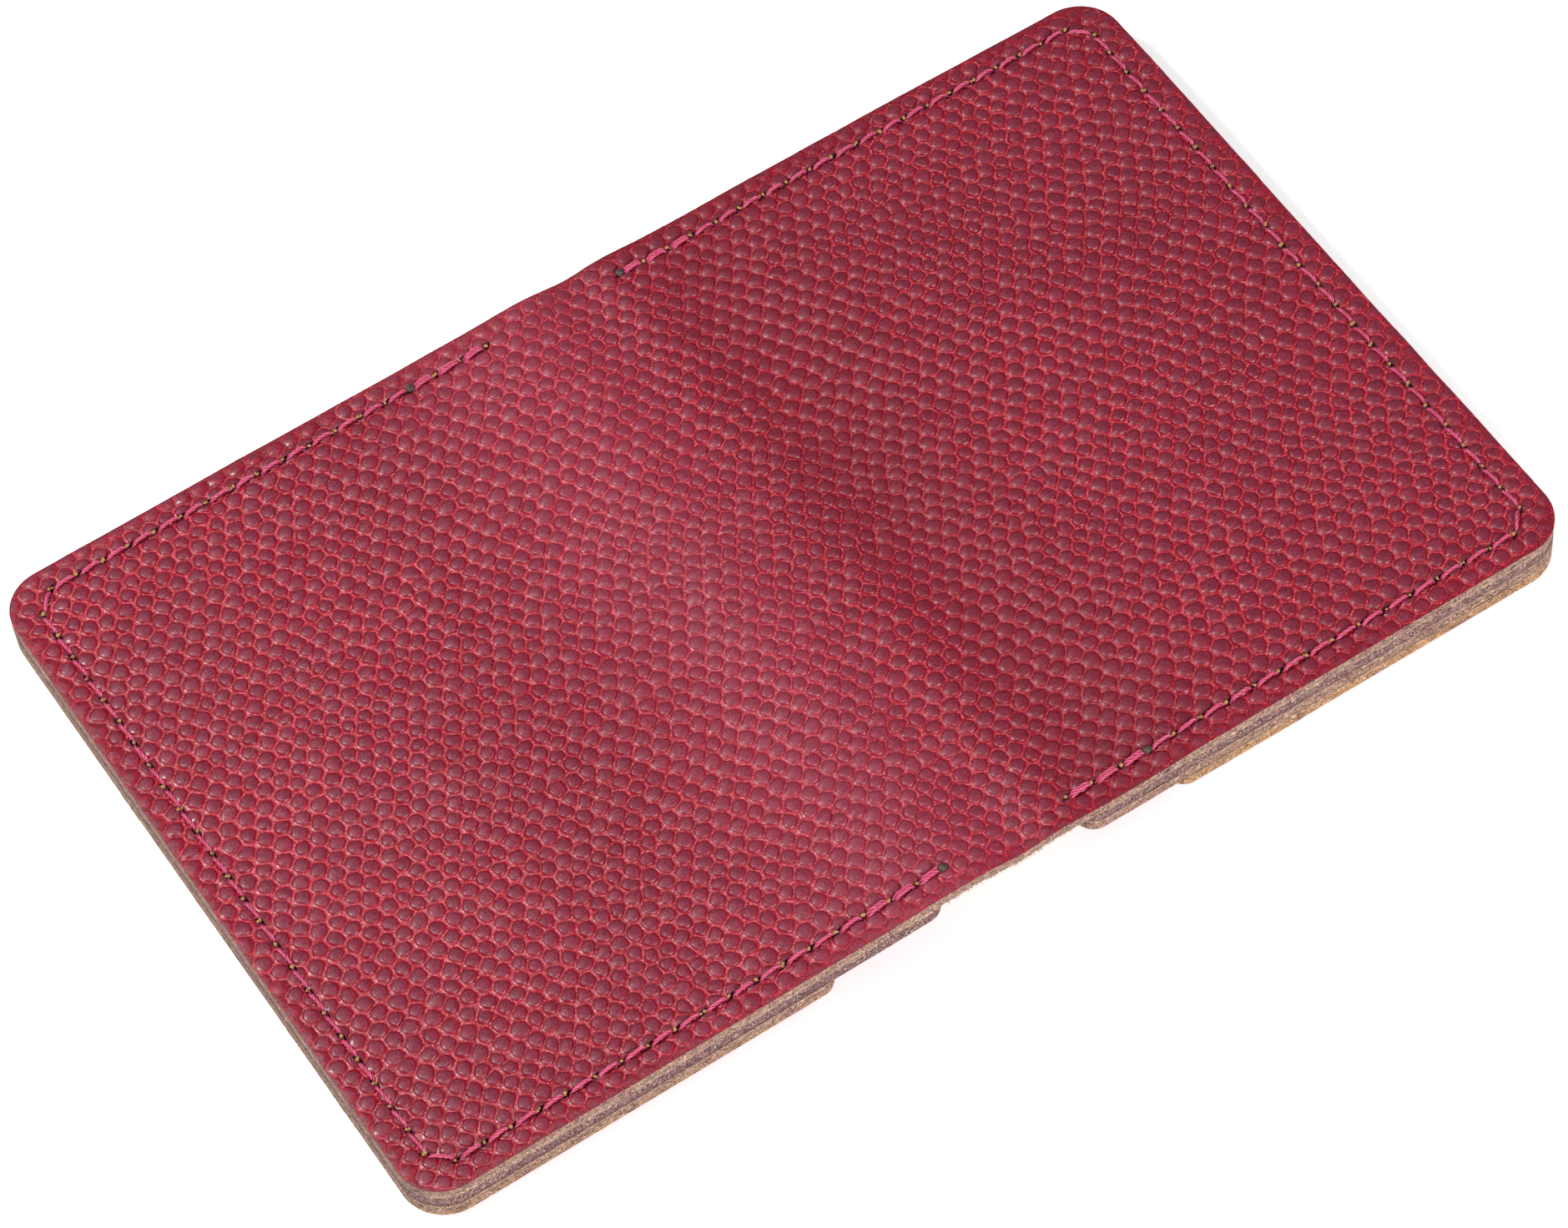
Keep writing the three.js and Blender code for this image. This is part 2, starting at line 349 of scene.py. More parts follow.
def divided(p, q, longest):
    """The points from p up to but not including q, the same ones from either end."""
    low, high = min(p, q), max(p, q)
    count = max(1, math.ceil(math.dist(p, q) / longest))
    points = [low]
    for k in range(1, count):
        t = k / count
        points.append((low[0] + (high[0] - low[0]) * t, low[1] + (high[1] - low[1]) * t))
    points.append(high)
    if p == high:
        points.reverse()
    return points[:-1]


def cells_inside(border, seed):
    """The cells that reach into a sheet: each one's whole shape, and its part inside the border."""
    x0 = min(x for x, _ in border)
    x1 = max(x for x, _ in border)
    points, cells = grain_cells(evened(grain_seeds(x0, x1, random.Random(seed)), x0, x1))
    found = []
    for point, cell in zip(points, cells):
        near_x = x0 - CELL_MARGIN < point.x < x1 + CELL_MARGIN
        if not near_x or abs(point.y) >= HALF_HEIGHT + CELL_MARGIN or len(cell) < 3:
            continue
        deep_x = x0 + CLIP_MARGIN < point.x < x1 - CLIP_MARGIN
        deep_y = abs(point.y) < HALF_HEIGHT - CLIP_MARGIN
        part = cell if deep_x and deep_y else clipped(cell, border)
        if len(part) > 2:
            found.append((cell, part))
    return found


def sheet_cells(border, seed):
    """The grain cells of a sheet, each with its whole shape, its finely divided ring and if it was cut."""
    found = cells_inside(border, seed)
    uses = Counter((min(p, q), max(p, q)) for _, part in found for p, q in sides(part))
    cells = []
    for whole, part in found:
        ring = []
        for p, q in sides(part):
            if p != q:
                on_outline = uses[(min(p, q), max(p, q))] == 1
                ring += divided(p, q, OUTLINE_EDGE if on_outline else INNER_EDGE)
        cells.append({"whole": whole, "ring": ring, "cut": part != whole})
    return cells


# ---- pebbles and sheets

RINGS = (0.95, 0.86, 0.70)  # shares of the way out to a cell's own border
PROFILE_AT = (0.0, 0.40, 0.70, 0.86, 0.95, 1.0, 1.2)
PROFILE_HEIGHT = (0.04, 0.034, 0.012, -0.06, -0.24, -0.25, -0.23)
GROOVE_AT = (0.0, 0.70, 0.86, 0.95, 1.0)
GROOVE_SHARE = (0.0, 0.0, 0.30, 0.95, 1.0)
PEBBLE_LIFT = 0.022
SMALLEST_PEBBLE = 0.88  # share of its cell
PEBBLE_LEAN = 0.045
HIDDEN_DROP = 0.25  # how far the plain grain lies under the pebbles' tops
GRAIN_BAND = 0.5  # points this near the grain's level belong to it
WALL_ROWS = 7
WALL_WANDER = 0.10
FRAY = 0.045
EDGE_ROUND = 0.08
EDGE_ROUND_WIDTH = 0.35
EDGE_PRESS = 0.08
EDGE_PRESS_WIDTH = 1.0
FOLD_REACH = 13.0  # the flesh side is meshed finely this near the fold
SPLIT = 0.0  # the cover's two pieces meet along the cells nearest this x


GRAIN, RAW, FLESH = range(3)  # material slots of a leather piece


class Sheet:
    """Collects one piece's points, faces and point attributes."""

    def __init__(self):
        self.points = []
        self.faces = []
        self.slots = []
        self.index = {}
        self.notes = {"groove": [], "crease": [], "tone": [], "depth": []}

    def add(self, x, y, z, groove=0.0, crease=0.0, tone=0.5, depth=0.0, key=None):
        """A new point's number, or the number of the point that was added with the same key."""
        if key in self.index:
            return self.index[key]
        number = len(self.points)
        self.points.append((x, y, z))
        for values, value in zip(self.notes.values(), (groove, crease, tone, depth)):
            values.append(value)
        if key is not None:
            self.index[key] = number
        return number

    def face(self, corners, slot, flip):
        self.faces.append(tuple(reversed(corners)) if flip else tuple(corners))
        self.slots.append(slot)


def gauge(whole):
    """A function of points that is 0 at a cell's middle and 1 on its border, with round level lines."""
    corners = np.array(whole)
    side = np.roll(corners, -1, 0) - corners
    length = np.hypot(side[:, 0], side[:, 1])
    keep = length > 1e-3
    normal = np.stack([side[:, 1], -side[:, 0]], 1)[keep] / length[keep, None]
    middle = np.array(centroid(whole))
    reach = ((corners[keep] - middle) * normal).sum(1)

    def measure(points):
        outward = np.maximum((points - middle) @ normal.T / reach, 0.0)
        return (outward ** ROUNDNESS).sum(1) ** (1 / ROUNDNESS)

    return middle, measure


def pebble(sheet, cell, level, sign, rng):
    """One raised pebble: rings from the groove round it up to its top."""
    middle, measure = gauge(cell["whole"])
    ring = np.array(cell["ring"])
    centre = np.array(centroid(cell["ring"])) if cell["cut"] else middle
    lift = rng.uniform(-PEBBLE_LIFT, PEBBLE_LIFT)
    lean = np.array([rng.gauss(0, PEBBLE_LEAN), rng.gauss(0, PEBBLE_LEAN)])
    tone = rng.random()
    size = rng.uniform(SMALLEST_PEBBLE, 1.0)

    def height(points, share):
        raised = 1.0 - np.interp(share, GROOVE_AT, GROOVE_SHARE)
        own = lift + (points - middle) @ lean
        return np.interp(share, PROFILE_AT, PROFILE_HEIGHT) + raised * own

    share = measure(ring) / size
    outer = []
    for key, z, s in zip(cell["ring"], height(ring, share), share):
        groove = float(np.interp(s, GROOVE_AT, GROOVE_SHARE))
        crease = 1.0 if s > 0.95 else 0.0
        outer.append(sheet.add(*key, level + sign * z, groove, crease, tone, key=("grain", key)))
    previous = outer
    count = len(outer)
    for target in RINGS:
        scale = target if cell["cut"] else (target / share)[:, None]
        points = centre + (ring - centre) * scale
        inner_share = measure(points) / size
        heights = height(points, inner_share)
        grooves = np.interp(inner_share, GROOVE_AT, GROOVE_SHARE)
        current = [
            sheet.add(x, y, level + sign * z, float(g), 0.0, tone)
            for (x, y), z, g in zip(points, heights, grooves)
        ]
        for k in range(count):
            n = (k + 1) % count
            sheet.face((previous[k], previous[n], current[n], current[k]), GRAIN, sign < 0)
        previous = current
    top = height(centre[None, :], measure(centre[None, :]))[0]
    hub = sheet.add(*centre, level + sign * top, 0.0, 0.0, tone)
    for k in range(count):
        sheet.face((previous[k], previous[(k + 1) % count], hub), GRAIN, sign < 0)


def hidden_grain(sheet, cell, level, sign):
    """A flat cell where other layers hide the grain."""
    corners = [sheet.add(*key, level, groove=1, key=("grain", key)) for key in cell["ring"]]
    sheet.face(corners, GRAIN, sign < 0)


def flesh(sheet, cell, level, sign):
    """A flat cell of the inside, as a fan of triangles near the fold, where it bends."""
    corners = [sheet.add(*key, level, groove=1, depth=1, key=("flesh", key)) for key in cell["ring"]]
    if abs(cell_x(cell)) >= FOLD_REACH:
        sheet.face(corners, FLESH, sign > 0)
        return
    hub = sheet.add(*centroid(cell["ring"]), level, groove=1, depth=1)
    for a, b in sides(corners):
        sheet.face((a, b, hub), FLESH, sign > 0)


def open_edges(cells):
    """The directed border edges of a group of cells."""
    edges = set()
    for cell in cells:
        for p, q in sides(cell["ring"]):
            if (q, p) in edges:
                edges.remove((q, p))
            else:
                edges.add((p, q))
    return edges


def fibre_noise(x, y, z, flat_scale, deep_scale, shift=0):
    return noise.noise(Vector((x * flat_scale + shift, y * flat_scale, z * deep_scale)))


def raw_wall(sheet, cells, outline_points, grain_level, flesh_level, sign):
    """The cut edge between the grain and the flesh, with a fibrous surface."""
    edges = open_edges(cells)
    follows = dict(edges)
    before = {q: p for p, q in edges}
    columns = {}
    for key in follows:
        top = sheet.index[("grain", key)]
        bottom = sheet.index[("flesh", key)]
        p, q = before[key], follows[key]
        run = math.dist(p, q)
        out_x, out_y = (q[1] - p[1]) / run, (p[0] - q[0]) / run
        loose = 1.0 if key in outline_points else 0.0
        top_z = sheet.points[top][2]
        column = [top]
        for row in range(1, WALL_ROWS):
            t = row / WALL_ROWS
            z = top_z + (flesh_level - top_z) * t
            strand = fibre_noise(*key, z, 0.7, 3.1)
            fibre = fibre_noise(*key, z, 3.1, 5.3, 40)
            wander = fibre_noise(*key, grain_level, 0.16, 7.3)
            push = loose * (WALL_WANDER * wander + FRAY * (0.3 * strand + fibre))
            column.append(sheet.add(key[0] + out_x * push, key[1] + out_y * push, z, depth=t))
        column.append(bottom)
        columns[key] = column
    for p, q in edges:
        for row in range(WALL_ROWS):
            a, b = columns[p][row], columns[p][row + 1]
            c, d = columns[q][row + 1], columns[q][row]
            sheet.face((a, b, c, d), RAW, sign < 0)


def soft_edge(points, outline_box, sign, grain_level):
    """Flattens the grain at the cut edge and rounds it over, as cutting and burnishing do."""
    x0, x1, left_corner, right_corner = outline_box
    x, y, z = points[:, 0], points[:, 1], points[:, 2]
    radius = np.where(x < (x0 + x1) / 2, left_corner, right_corner)
    dx = np.maximum(x - (x1 - radius), (x0 + radius) - x)
    dy = np.abs(y) - (HALF_HEIGHT - radius)
    outside = np.hypot(np.maximum(dx, 0), np.maximum(dy, 0))
    inside = np.minimum(np.maximum(dx, dy), 0)
    distance = radius - (outside + inside)
    near_grain = np.abs(z - grain_level) < GRAIN_BAND
    pressed = near_grain * np.exp(-(distance / EDGE_PRESS_WIDTH) ** 2)
    z = z + (grain_level - sign * EDGE_PRESS - z) * pressed
    drop = EDGE_ROUND * np.exp(-(distance / EDGE_ROUND_WIDTH) ** 2) * near_grain
    return z - sign * drop


def leather_sheet(cells, keep, visible, levels, outline_box, outline_points, seed, press):
    """One closed sheet: grain face, cut edge and flesh face."""
    grain_level, flesh_level = levels
    sign = 1 if grain_level > flesh_level else -1
    rng = random.Random(seed)
    sheet = Sheet()
    chosen = [cell for cell in cells if keep(cell)]
    for cell in chosen:
        if visible(cell):
            pebble(sheet, cell, grain_level, sign, rng)
        else:
            hidden_grain(sheet, cell, grain_level - sign * HIDDEN_DROP, sign)
    for cell in chosen:
        flesh(sheet, cell, flesh_level, sign)
    raw_wall(sheet, chosen, outline_points, grain_level, flesh_level, sign)
    points = np.array(sheet.points)
    points[:, 2] = soft_edge(points, outline_box, sign, grain_level)
    depth, width = press
    distance = distance_to_stitches(points[:, 0], points[:, 1])
    on_grain = np.abs(points[:, 2] - grain_level) < GRAIN_BAND
    points[:, 2] -= sign * on_grain * depth * np.exp(-(distance / width) ** 4)
    sheet.points = points
    return sheet


def make_mesh(name, sheet, materials):
    """The piece's mesh object, laid down by place(). The level coordinates stay as an attribute."""
    points = np.array(sheet.points, float)
    mesh = bpy.data.meshes.new(name)
    mesh.from_pydata((place(points) * MM).tolist(), [], sheet.faces)
    for material in materials:
        mesh.materials.append(material)
    mesh.polygons.foreach_set("material_index", sheet.slots)
    flat = mesh.attributes.new("level", "FLOAT_VECTOR", "POINT")
    flat.data.foreach_set("vector", points.astype(np.float32).ravel())
    for label, values in sheet.notes.items():
        note = mesh.attributes.new(label, "FLOAT", "POINT")
        note.data.foreach_set("value", np.array(values, np.float32))
    return new_object(name, mesh)


HOLE_LENGTH = 1.85
HOLE_WIDTH = 0.86
HOLE_SLANT = 24  # degrees from the row


def hole_cutter(side, low, high, materials):
    """A diamond prism through every stitch hole of a half, slanted to the row as an iron cuts them."""
    sheet = Sheet()
    holes = HOLES[side]
    for k, (x, y) in enumerate(holes):
        before, after = holes[max(k - 1, 0)], holes[min(k + 1, len(holes) - 1)]
        heading = math.atan2(after[1] - before[1], after[0] - before[0])
        heading += math.radians(HOLE_SLANT)
        along = (math.cos(heading) * HOLE_LENGTH / 2, math.sin(heading) * HOLE_LENGTH / 2)
        across = (-math.sin(heading) * HOLE_WIDTH / 2, math.cos(heading) * HOLE_WIDTH / 2)
        ring = [(x + along[0], y + along[1]), (x + across[0], y + across[1]),
                (x - along[0], y - along[1]), (x - across[0], y - across[1])]
        bottom = [sheet.add(px, py, low, depth=0.5) for px, py in ring]
        top = [sheet.add(px, py, high, depth=0.5) for px, py in ring]
        sheet.face(bottom, RAW, True)
        sheet.face(top, RAW, False)
        for a in range(4):
            b = (a + 1) % 4
            sheet.face((bottom[a], bottom[b], top[b], top[a]), RAW, False)
    return make_mesh("cutter", sheet, materials)


def pierce(piece, side, low, high):
    """Cuts the stitch holes through a piece."""
    cutter = hole_cutter(side, low, high, list(piece.data.materials))
    cut = piece.modifiers.new("holes", "BOOLEAN")
    cut.operation = "DIFFERENCE"
    cut.solver = "MANIFOLD"
    cut.object = cutter
    graph = bpy.context.evaluated_depsgraph_get()
    mesh = bpy.data.meshes.new_from_object(piece.evaluated_get(graph), depsgraph=graph)
    mesh.name = piece.name
    piece.modifiers.clear()
    piece.data = mesh
    bpy.data.objects.remove(cutter)


LEATHER_SHARP = 66  # degrees: only steeper edges stay sharp
THREAD_SHARP = 80


def shade(piece, angle):
    piece.data.polygons.foreach_set("use_smooth", [True] * len(piece.data.polygons))
    piece.data.set_sharp_from_angle(angle=math.radians(angle))


# ---- materials

class Shader:
    """Builds one material's nodes in short calls."""

    def __init__(self, name):
        self.material = bpy.data.materials.new(name)
        self.material.use_nodes = True
        self.tree = self.material.node_tree
        self.tree.nodes.clear()
        self.surface = self.node("ShaderNodeBsdfPrincipled", {})
        self.node("ShaderNodeOutputMaterial", {"Surface": self.surface.outputs["BSDF"]})

    def put(self, node, inputs):
        """Links or sets a node's inputs. None leaves an input as it is."""
        for name, value in inputs.items():
            if isinstance(value, bpy.types.NodeSocket):
                self.tree.links.new(value, node.inputs[name])
            elif value is not None:
                node.inputs[name].default_value = value

    def node(self, kind, inputs, **settings):
        made = self.tree.nodes.new(kind)
        for name, value in settings.items():
            setattr(made, name, value)
        self.put(made, inputs)
        return made

    def note(self, name):
        """One of the mesh's number attributes."""
        return self.node("ShaderNodeAttribute", {}, attribute_name=name).outputs["Fac"]

    def vector_note(self, name):
        return self.node("ShaderNodeAttribute", {}, attribute_name=name).outputs["Vector"]

    def times(self, a, b):
        return self.node("ShaderNodeMath", {0: a, 1: b}, operation="MULTIPLY").outputs[0]

    def plus(self, a, b):
        return self.node("ShaderNodeMath", {0: a, 1: b}, operation="ADD").outputs[0]

    def scaled(self, vector, scale):
        return self.node("ShaderNodeVectorMath", {0: vector, 1: scale}, operation="MULTIPLY").outputs[0]

    def noise(self, vector, scale, detail=2.0, roughness=0.5, distortion=0.0):
        inputs = {"Vector": vector, "Scale": scale, "Detail": detail, "Roughness": roughness,
                  "Distortion": distortion}
        return self.node("ShaderNodeTexNoise", inputs).outputs["Fac"]

    def split(self, vector, axis):
        return self.node("ShaderNodeSeparateXYZ", {0: vector}).outputs[axis]

    def span(self, value, low, high, to_low=0.0, to_high=1.0, smooth=False):
        """Maps low..high to to_low..to_high, and stays there past the ends."""
        inputs = {"Value": value, "From Min": low, "From Max": high, "To Min": to_low, "To Max": to_high}
        kind = "SMOOTHSTEP" if smooth else "LINEAR"
        return self.node("ShaderNodeMapRange", inputs, interpolation_type=kind).outputs["Result"]

    def band(self, value, limits):
        """0 outside the limits, rising to 1 between the middle two."""
        start, full, fading, end = limits
        return self.times(self.span(value, start, full, smooth=True),
                          self.span(value, end, fading, smooth=True))

    def mix(self, factor, a, b):
        return self.node("ShaderNodeMix", {0: factor, 6: a, 7: b}, data_type="RGBA").outputs[2]

    def stain(self, base, value, low, high, share, tint):
        """The base colour, tinted by up to this share as the value goes from low to high."""
        return self.mix(self.span(value, low, high, 0.0, share), base, tint)

    def ramp(self, factor, stops):
        made = self.node("ShaderNodeValToRGB", {0: factor})
        elements = made.color_ramp.elements
        while len(elements) < len(stops):
            elements.new(0.5)
        for element, (position, colour) in zip(elements, stops):
            element.position = position
            element.color = colour
        return made.outputs[0]

    def bump(self, height, distance, strength):
        inputs = {"Strength": strength, "Distance": distance, "Height": height}
        return self.node("ShaderNodeBump", inputs).outputs[0]

    def finish(self, colour, roughness, normal, **others):
        self.put(self.surface, {"Base Color": colour, "Roughness": roughness, "Normal": normal})
        self.put(self.surface, {name.replace("_", " "): value for name, value in others.items()})
        return self.material


def colour(red, green, blue):
    """A display colour, 0 to 255, as the linear values that the shader takes."""
    linear = []
    for channel in (red, green, blue):
        c = channel / 255
        linear.append(c / 12.92 if c <= 0.04045 else ((c + 0.055) / 1.055) ** 2.4)
    return (*linear, 1.0)


TORN = 1.0  # the tone of torn leather
PAINTED_SHEEN_BAND = (-38, -14, -8, 8)  # x where a painted sheen lightens the leather by the fold
SHADED_BAND = (2, 14, 18, 42)  # and where painted shade darkens it


def grain_leather(name):
    """Pebbled leather: plum tops with a dark stipple, brighter grooves with broken pale creases, painted
    shade at the pebbles' feet, and a painted sheen and painted shade in bands across the fold.
    """
    s = Shader(name)
    level = s.vector_note("level")
    groove = s.note("groove")
    tone = s.note("tone")
    crease = s.note("crease")
    stipple = s.noise(level, 7.8, 2.0, 0.65)
    cloud = s.noise(level, 1.2, 2.0, 0.5)
    patches = s.noise(level, 0.035, 2.0)
    wrinkle = s.noise(s.scaled(level, (1.0, 1.0, 0.4)), 3.4, 3.0, 0.6, 1.6)
    top = s.mix(s.span(cloud, 0.35, 0.65), colour(114, 12, 40), colour(134, 24, 52))
    top = s.stain(top, tone, 0, 1, 0.40, colour(98, 12, 38))
    top = s.stain(top, stipple, 0.50, 0.40, 0.85, colour(52, 6, 22))
    top = s.stain(top, stipple, 0.55, 0.66, 0.6, colour(184, 74, 98))
    rim = s.mix(s.span(cloud, 0.35, 0.6), colour(112, 2, 28), colour(144, 10, 40))
    valley = s.mix(s.span(patches, 0.38, 0.62), colour(140, 0, 28), colour(156, 10, 38))
    valley = s.stain(valley, wrinkle, 0.45, 0.40, 0.7, colour(96, 2, 20))
    valley = s.stain(valley, wrinkle, 0.52, 0.62, 0.7, colour(198, 48, 66))
    body = s.mix(s.span(groove, 0.06, 0.36, smooth=True), top, rim)
    body = s.mix(s.span(groove, 0.45, 0.95, smooth=True), body, valley)
    # painted shade: the crease at each pebble's foot is darkened, broken up by the cloud noise
    painted_foot_shade = s.times(s.span(groove, 0.55, 0.85, smooth=True), s.span(crease, 0.35, 0.05))
    painted_foot_shade = s.times(painted_foot_shade, s.span(cloud, 0.40, 0.52))
    body = s.mix(s.times(painted_foot_shade, 0.7), body, colour(64, 4, 18))
    streak = s.times(s.span(crease, 0.45, 1.0), s.span(wrinkle, 0.52, 0.57))
    body = s.mix(s.times(streak, 0.7), body, colour(230, 140, 150))
    across = s.split(level, "X")
    # painted sheen beside the fold, then painted shade further right
    body = s.mix(s.times(s.band(across, PAINTED_SHEEN_BAND), 0.10), body, colour(206, 92, 116))
    body = s.mix(s.times(s.band(across, SHADED_BAND), 0.30), body, colour(104, 0, 22))
    gloss = s.span(groove, 0.0, 0.25, smooth=True)
    roughness = s.plus(s.span(stipple, 0.3, 0.7, 0.50, 0.36), s.times(gloss, -0.18))
    grit = s.plus(s.times(stipple, 0.35), s.times(wrinkle, 0.8))
    normal = s.bump(grit, 0.00009, 0.9)
    return s.finish(body, roughness, normal, Specular_IOR_Level=0.42, Coat_Weight=0.22,
                    Coat_Roughness=0.20)


def raw_edge(name):
    """The cut edge: curly pale and dark fibres, dyed near the grain and golden towards the flesh."""
    s = Shader(name)
    level = s.vector_note("level")
    depth = s.note("depth")
    strands = s.noise(s.scaled(level, (0.30, 0.30, 4.0)), 1.0, 3.0, 0.6, 0.6)
    curls = s.noise(s.scaled(level, (1.0, 1.0, 1.3)), 2.0, 3.0, 0.72, 2.2)
    dyed = s.noise(level, 0.30, 2.0)
    share = s.times(s.split(level, "Z"), 1 / COVER_TOP)
    height = s.plus(share, s.span(strands, 0.3, 0.7, -0.03, 0.03))
    layer = s.ramp(height, (
        (0.00, colour(188, 138, 88)),
        (0.24, colour(176, 132, 88)),
        (0.29, colour(150, 114, 96)),
        (0.48, colour(146, 110, 96)),
        (0.54, colour(104, 70, 76)),
        (0.76, colour(112, 78, 82)),
        (0.80, colour(148, 114, 100)),
        (1.00, colour(154, 120, 102)),
    ))
    seam = s.plus(depth, s.span(strands, 0.25, 0.75, -0.06, 0.06))
    tint = s.stain(layer, seam, 0.14, 0.04, 0.9, colour(74, 34, 42))
    tint = s.stain(tint, seam, 0.80, 0.94, 0.5, colour(206, 172, 142))
    tint = s.stain(tint, dyed, 0.54, 0.66, 0.5, colour(110, 52, 70))
    dark = s.stain(tint, curls, 0.50, 0.42, 0.85, colour(44, 24, 32))
    pale = s.stain(dark, curls, 0.53, 0.60, 0.75, colour(228, 190, 166))
    body = s.mix(s.times(s.span(depth, 0.30, 0.10), 0.5), pale, tint)
    body = s.stain(body, s.note("tone"), 0.8, TORN, 0.8, colour(204, 150, 92))
    fibres = s.plus(s.times(strands, 0.4), curls)
    normal = s.bump(fibres, 0.00030, 1.0)
    return s.finish(body, s.span(curls, 0.3, 0.7, 0.9, 0.65), normal, Specular_IOR_Level=0.2)


def flesh_side(name):
    """The suede-like inside of the leather."""
    s = Shader(name)
    level = s.vector_note("level")
    nap = s.noise(level, 3.2, 5.0, 0.7, 0.8)
    broad = s.noise(level, 0.12, 3.0)
    body = s.mix(s.span(nap, 0.35, 0.65), colour(140, 104, 88), colour(196, 162, 138))
    body = s.stain(body, broad, 0.4, 0.65, 0.5, colour(150, 100, 92))
    normal = s.bump(nap, 0.00025, 0.9)
    return s.finish(body, 0.92, normal, Sheen_Weight=0.25, Sheen_Roughness=0.6,
                    Specular_IOR_Level=0.15)


def waxed_thread(name):
    """Raspberry thread: fine filaments along each ply and a waxed gloss, with painted shade on the side of
    each ply that faces the others.
    """
    s = Shader(name)
    along = s.vector_note("along")
    filament = s.noise(s.scaled(along, (0.35, 7.0, 7.0)), 1.0, 3.0, 0.6)
    body = s.mix(s.span(filament, 0.38, 0.62), colour(184, 8, 66), colour(246, 92, 146))
    # painted shade where the plies press together
    body = s.mix(s.times(s.note("ply_crevice_shade"), 0.95), body, colour(112, 4, 38))
    normal = s.bump(filament, 0.00004, 0.9)
    return s.finish(body, s.span(filament, 0.3, 0.7, 0.32, 0.18), normal, Specular_IOR_Level=1.0,
                    Sheen_Weight=0.15, Sheen_Roughness=0.4)


def melted_end(name):
    """A thread end that was melted to a dark bead."""
    s = Shader(name)
    along = s.vector_note("along")
    mottle = s.noise(along, 3.0, 3.0, 0.6)
    body = s.mix(s.span(mottle, 0.4, 0.62), colour(26, 20, 20), colour(86, 70, 58))
    return s.finish(body, 0.38, s.bump(mottle, 0.00006, 0.8), Specular_IOR_Level=0.5)


# ---- stitching

PLIES = 3
PLY_RADIUS = 0.118
PLY_OFFSET = 0.136
PLY_SIDES = 6
LAY = 2.3
SINK = 0.12  # the stitch's middle above the pressed grain
UNDER_SINK = 0.18
FLOOR_CLEAR = 0.31
TACK = 3  # stitches that are sewn twice at each end of a run
TACK_OFFSET = 0.18
SLANT = 0.13  # how far a stitch starts and ends to the sides of its row
TOP_DIVE = ((0.02, 1.2), (0.22, 0.90), (0.58, 0.34))  # distance from a hole, depth under the grain
UNDER_DIVE = ((0.02, 1.2), (0.18, 0.40), (0.50, 0.04))  # distance from a hole, height over the stitch
SHOULDER = 0.98  # distance from a hole where a stitch reaches its full height
STEP_HEIGHT = 0.2  # a smaller change of level underneath needs no step
FINE_STEP = 0.24
COARSE_STEP = 1.2  # where the thread is hidden in a hole


def pocket_mouths():
    """Each half's pocket mouths: distance from the fold, and the underside there, outermost first."""
    mouths = {"left": [], "right": []}
    for layer in ("front", "inner"):
        low, high = level_box(f"left_{layer}_pocket")
        mouths["left"].append((-high[0], low[2]))
        low, _ = millimetre_box(f"right_{layer}_pocket")
        mouths["right"].append((low[0], low[2]))
    return mouths


MOUTHS = pocket_mouths()


def underside(side, x):
    """The level of the lowest layer at this x."""
    for mouth, level in MOUTHS[side]:
        if abs(x) >= mouth:
            return level
    return COVER_BOTTOM


def under_thread(side, x):
    """The level of a stitch's middle under the case. On the lowest pocket it lies in a pressed groove."""
    level = underside(side, x)
    lowest = MOUTHS[side][0][1]
    return level + FLOOR_CLEAR if level == lowest else level - UNDER_SINK


def mirrored(points, length):
    """A stitch's control points, seen from its other end."""
    return [(length - along, -sideways, z) for along, sideways, z in reversed(points)]


def top_points(a, b):
    """Control points of one stitch on the outside, as distance along, sideways and level."""
    length = math.dist(a, b)
    high = COVER_TOP + SINK
    rise = [(along, -SLANT, COVER_TOP - depth) for along, depth in TOP_DIVE]
    rise.append((SHOULDER, -0.8 * SLANT, high - 0.03))
    return rise + [(length / 2, 0.0, high + 0.05)] + mirrored(rise, length)


def mouth_step(side, a, b, start, end):
    """Control points where a stitch underneath steps over a pocket's mouth."""
    length = math.dist(a, b)
    outer, inner = (a, b) if abs(a[0]) > abs(b[0]) else (b, a)
    mouth = next(m for m, _ in MOUTHS[side] if abs(inner[0]) < m <= abs(outer[0]))
    lip = (abs(outer[0]) - mouth) / (abs(outer[0]) - abs(inner[0])) * length
    low, high = min(start, end), max(start, end)
    steps = [(lip - 0.30, 0.0, low), (lip + 0.30, 0.0, low + 0.05), (lip + 0.42, 0.0, high - 0.3),
             (lip + 0.75, 0.0, high)]
    return mirrored(steps, length) if outer is b else steps


def under_points(side, a, b):
    """Control points of one stitch underneath."""
    length = math.dist(a, b)
    start, end = under_thread(side, a[0]), under_thread(side, b[0])
    middle = [(length / 2, 0.0, start)]
    if abs(start - end) > STEP_HEIGHT:
        middle = mouth_step(side, a, b, start, end)
    dive = [(along, SLANT, start + height) for along, height in UNDER_DIVE]
    rise = mirrored([(along, SLANT, end + height) for along, height in UNDER_DIVE], length)
    return dive + middle + rise


def stitch_order(count):
    """Which hole each stitch starts and ends at: tacked back at the start, along, and tacked at the end."""
    visits = list(range(TACK, 0, -1)) + list(range(count)) + list(range(count - 2, count - 2 - TACK, -1))
    return list(zip(visits, visits[1:]))


